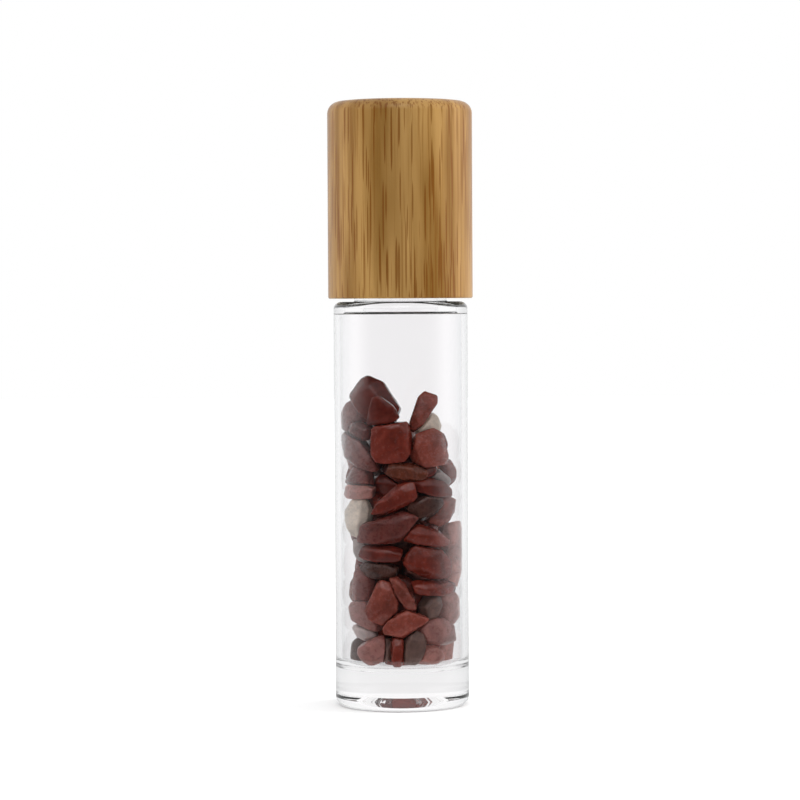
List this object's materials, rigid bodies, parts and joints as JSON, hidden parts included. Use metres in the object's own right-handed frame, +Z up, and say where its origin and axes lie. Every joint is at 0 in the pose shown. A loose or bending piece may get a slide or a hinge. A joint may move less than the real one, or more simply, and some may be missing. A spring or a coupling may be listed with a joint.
{
  "type": "roll-on bottle",
  "caption": "Clear straight glass roll-on vial with a thick base, holding loose red stone chips, with a roller ball and a tall bamboo screw cap.",
  "frame": {"origin": "centre of the ring that the bottle stands on", "axes": "+Z up along the bottle's axis, -Y towards the front seen in the picture"},
  "size_m": [0.0216, 0.0216, 0.09],
  "materials": {
    "clear_glass": "polished clear",
    "housing_plastic": "natural moulded, slightly cloudy",
    "ball_steel": "mirror polished",
    "seal_foam": "matte foam",
    "liner_plastic": "moulded white",
    "bamboo": "turned, sanded and oiled",
    "red_stone": "tumbled",
    "cream_stone": "tumbled",
    "grey_stone": "tumbled",
    "brown_stone": "tumbled"
  },
  "bodies": {
    "bottle": {"glass_bottle": "clear_glass", "roller_housing": "housing_plastic"},
    "ball": {"roller_ball": "ball_steel"},
    "seal": {"sealing_disc": "seal_foam"},
    "cap": {"cap_liner": "liner_plastic", "bamboo_cap": "bamboo"},
    "chips": {"stone_chip_01": "red_stone", "stone_chip_02": "grey_stone", "stone_chip_03": "red_stone", "stone_chip_04": "red_stone", "stone_chip_05": "cream_stone", "stone_chip_06": "red_stone", "stone_chip_07": "red_stone", "stone_chip_08": "red_stone", "stone_chip_09": "red_stone", "stone_chip_10": "grey_stone", "stone_chip_11": "brown_stone", "stone_chip_12": "red_stone", "stone_chip_13": "red_stone", "stone_chip_14": "grey_stone", "stone_chip_15": "red_stone", "stone_chip_16": "red_stone", "stone_chip_17": "red_stone", "stone_chip_18": "red_stone", "stone_chip_19": "brown_stone", "stone_chip_20": "red_stone", "stone_chip_21": "cream_stone", "stone_chip_22": "red_stone", "stone_chip_23": "red_stone", "stone_chip_24": "grey_stone", "stone_chip_25": "red_stone", "stone_chip_26": "red_stone", "stone_chip_27": "red_stone", "stone_chip_28": "brown_stone", "stone_chip_29": "red_stone", "stone_chip_30": "red_stone", "stone_chip_31": "red_stone", "stone_chip_32": "red_stone", "stone_chip_33": "grey_stone", "stone_chip_34": "red_stone", "stone_chip_35": "red_stone", "stone_chip_36": "red_stone", "stone_chip_37": "red_stone", "stone_chip_38": "grey_stone", "stone_chip_39": "brown_stone", "stone_chip_40": "brown_stone", "stone_chip_41": "red_stone", "stone_chip_42": "red_stone", "stone_chip_43": "red_stone", "rear_chips_01": "red_stone", "rear_chips_02": "red_stone", "rear_chips_03": "red_stone", "rear_chips_04": "red_stone", "rear_chips_05": "red_stone", "rear_chips_06": "red_stone", "rear_chips_07": "red_stone", "rear_chips_08": "red_stone"}
  },
  "joints": [
    {"name": "ball_roll", "type": "hinge", "parent": "bottle", "child": "ball", "pos_m": [0, 0, 0.0744], "axis": [1, 0, 0], "continuous": true},
    {"name": "cap_lift", "type": "slide", "parent": "bottle", "child": "seal", "axis": [0, 0, 1], "range_m": [0, 0.02101]},
    {"name": "cap_turn", "type": "hinge", "parent": "seal", "child": "cap", "pos_m": [0, 0, 0], "axis": [0, 0, 1], "range_deg": [0, 2520]},
    {"name": "chip_slide", "type": "slide", "parent": "bottle", "child": "chips", "axis": [0, 0, 1], "range_m": [0, 0.008]}
  ],
  "couplings": [
    {"joint": "cap_lift", "follows": "cap_turn", "m_per_rad": 0.00047746}
  ]
}
